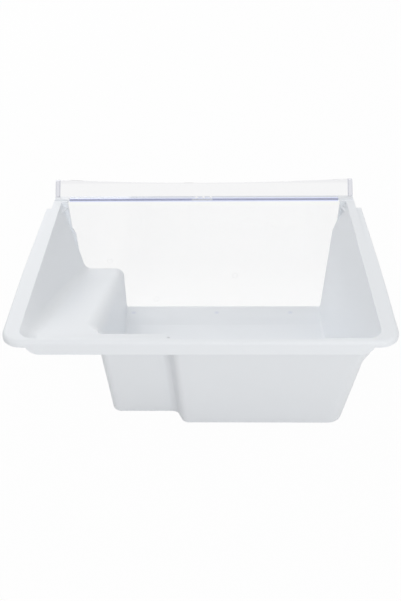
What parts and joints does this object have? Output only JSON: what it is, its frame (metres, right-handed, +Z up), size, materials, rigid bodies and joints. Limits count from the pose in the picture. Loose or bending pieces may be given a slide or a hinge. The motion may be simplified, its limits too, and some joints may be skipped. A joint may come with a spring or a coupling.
{
  "type": "fridge crisper drawer",
  "caption": "Open fridge crisper drawer: white moulded tub with a deep bin, a ramp shelf along one side and rails under its rim, closed at the front by a clear panel with a flared pull lip.",
  "frame": {"origin": "middle of the footprint, on the underside of the floor", "axes": "+X towards the ramp shelf, -Y towards the clear front panel, +Z up"},
  "size_m": [0.48, 0.3944, 0.2245],
  "materials": {
    "white_plastic": "satin",
    "clear_plastic": "clear"
  },
  "bodies": {
    "root": {"tub": "white_plastic", "front_panel": "clear_plastic"}
  },
  "joints": []
}
